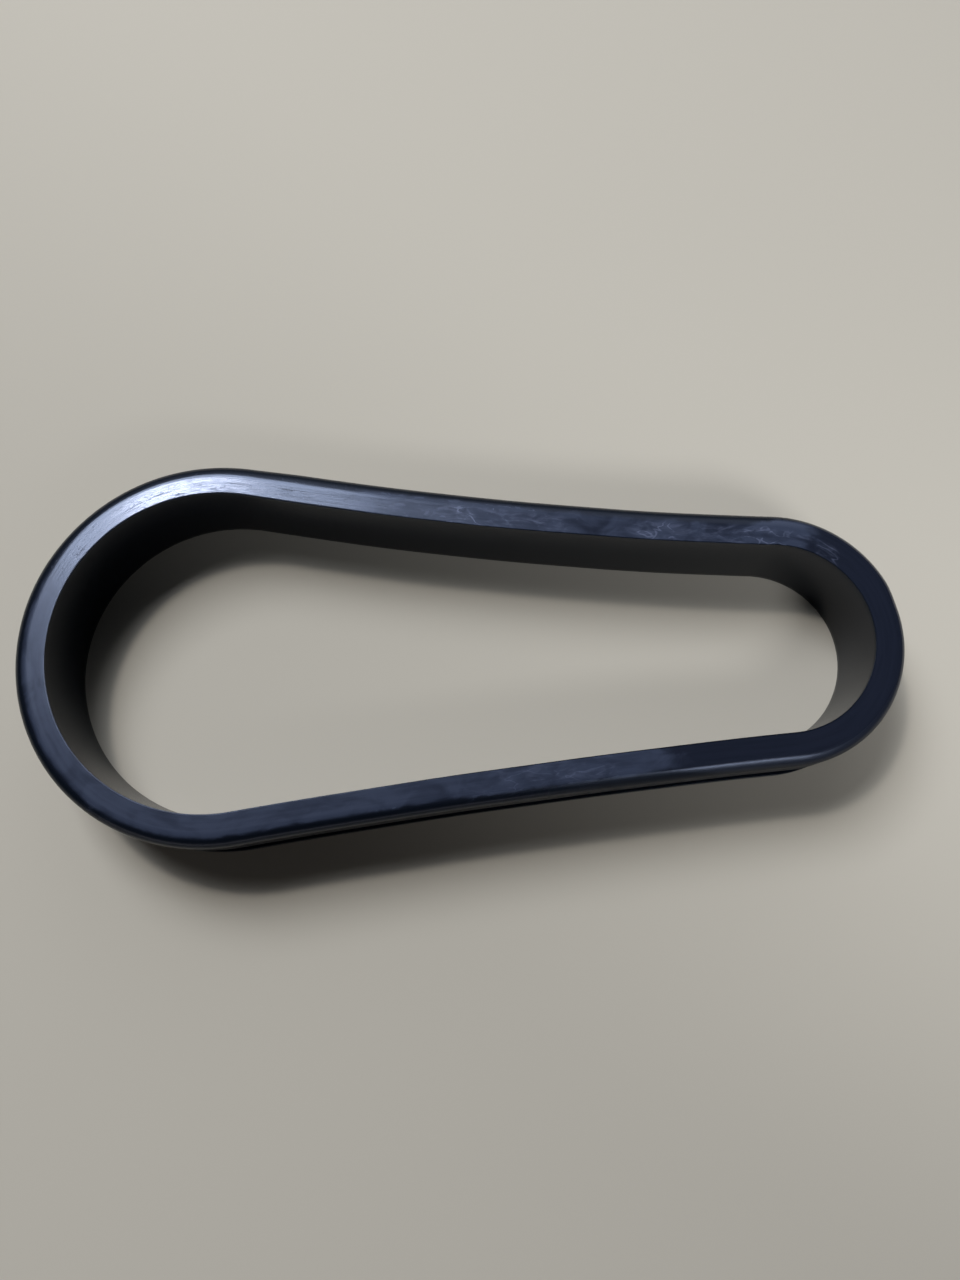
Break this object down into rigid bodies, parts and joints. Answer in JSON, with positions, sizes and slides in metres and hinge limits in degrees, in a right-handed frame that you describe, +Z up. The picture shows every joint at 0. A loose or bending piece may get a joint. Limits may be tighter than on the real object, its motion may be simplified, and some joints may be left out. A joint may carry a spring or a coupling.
{
  "type": "grommet",
  "caption": "Pear-shaped edging grommet for a panel cut-out: a plain inner wall, a deep flange with a rounded shoulder, a thin foot flange, and the panel's groove between them.",
  "frame": {"origin": "under the middle of the grommet, on the surface that it lies on", "axes": "+X along the grommet, from the large round end to the small one; +Z up, through the opening; +Y towards the flank that is hollowed more"},
  "size_m": [0.295, 0.1294, 0.036],
  "materials": {
    "rubber": "moulded black rubber, satin, with a bluish bloom and fine scuffs on top"
  },
  "bodies": {
    "root": {"grommet": "rubber"}
  },
  "joints": []
}
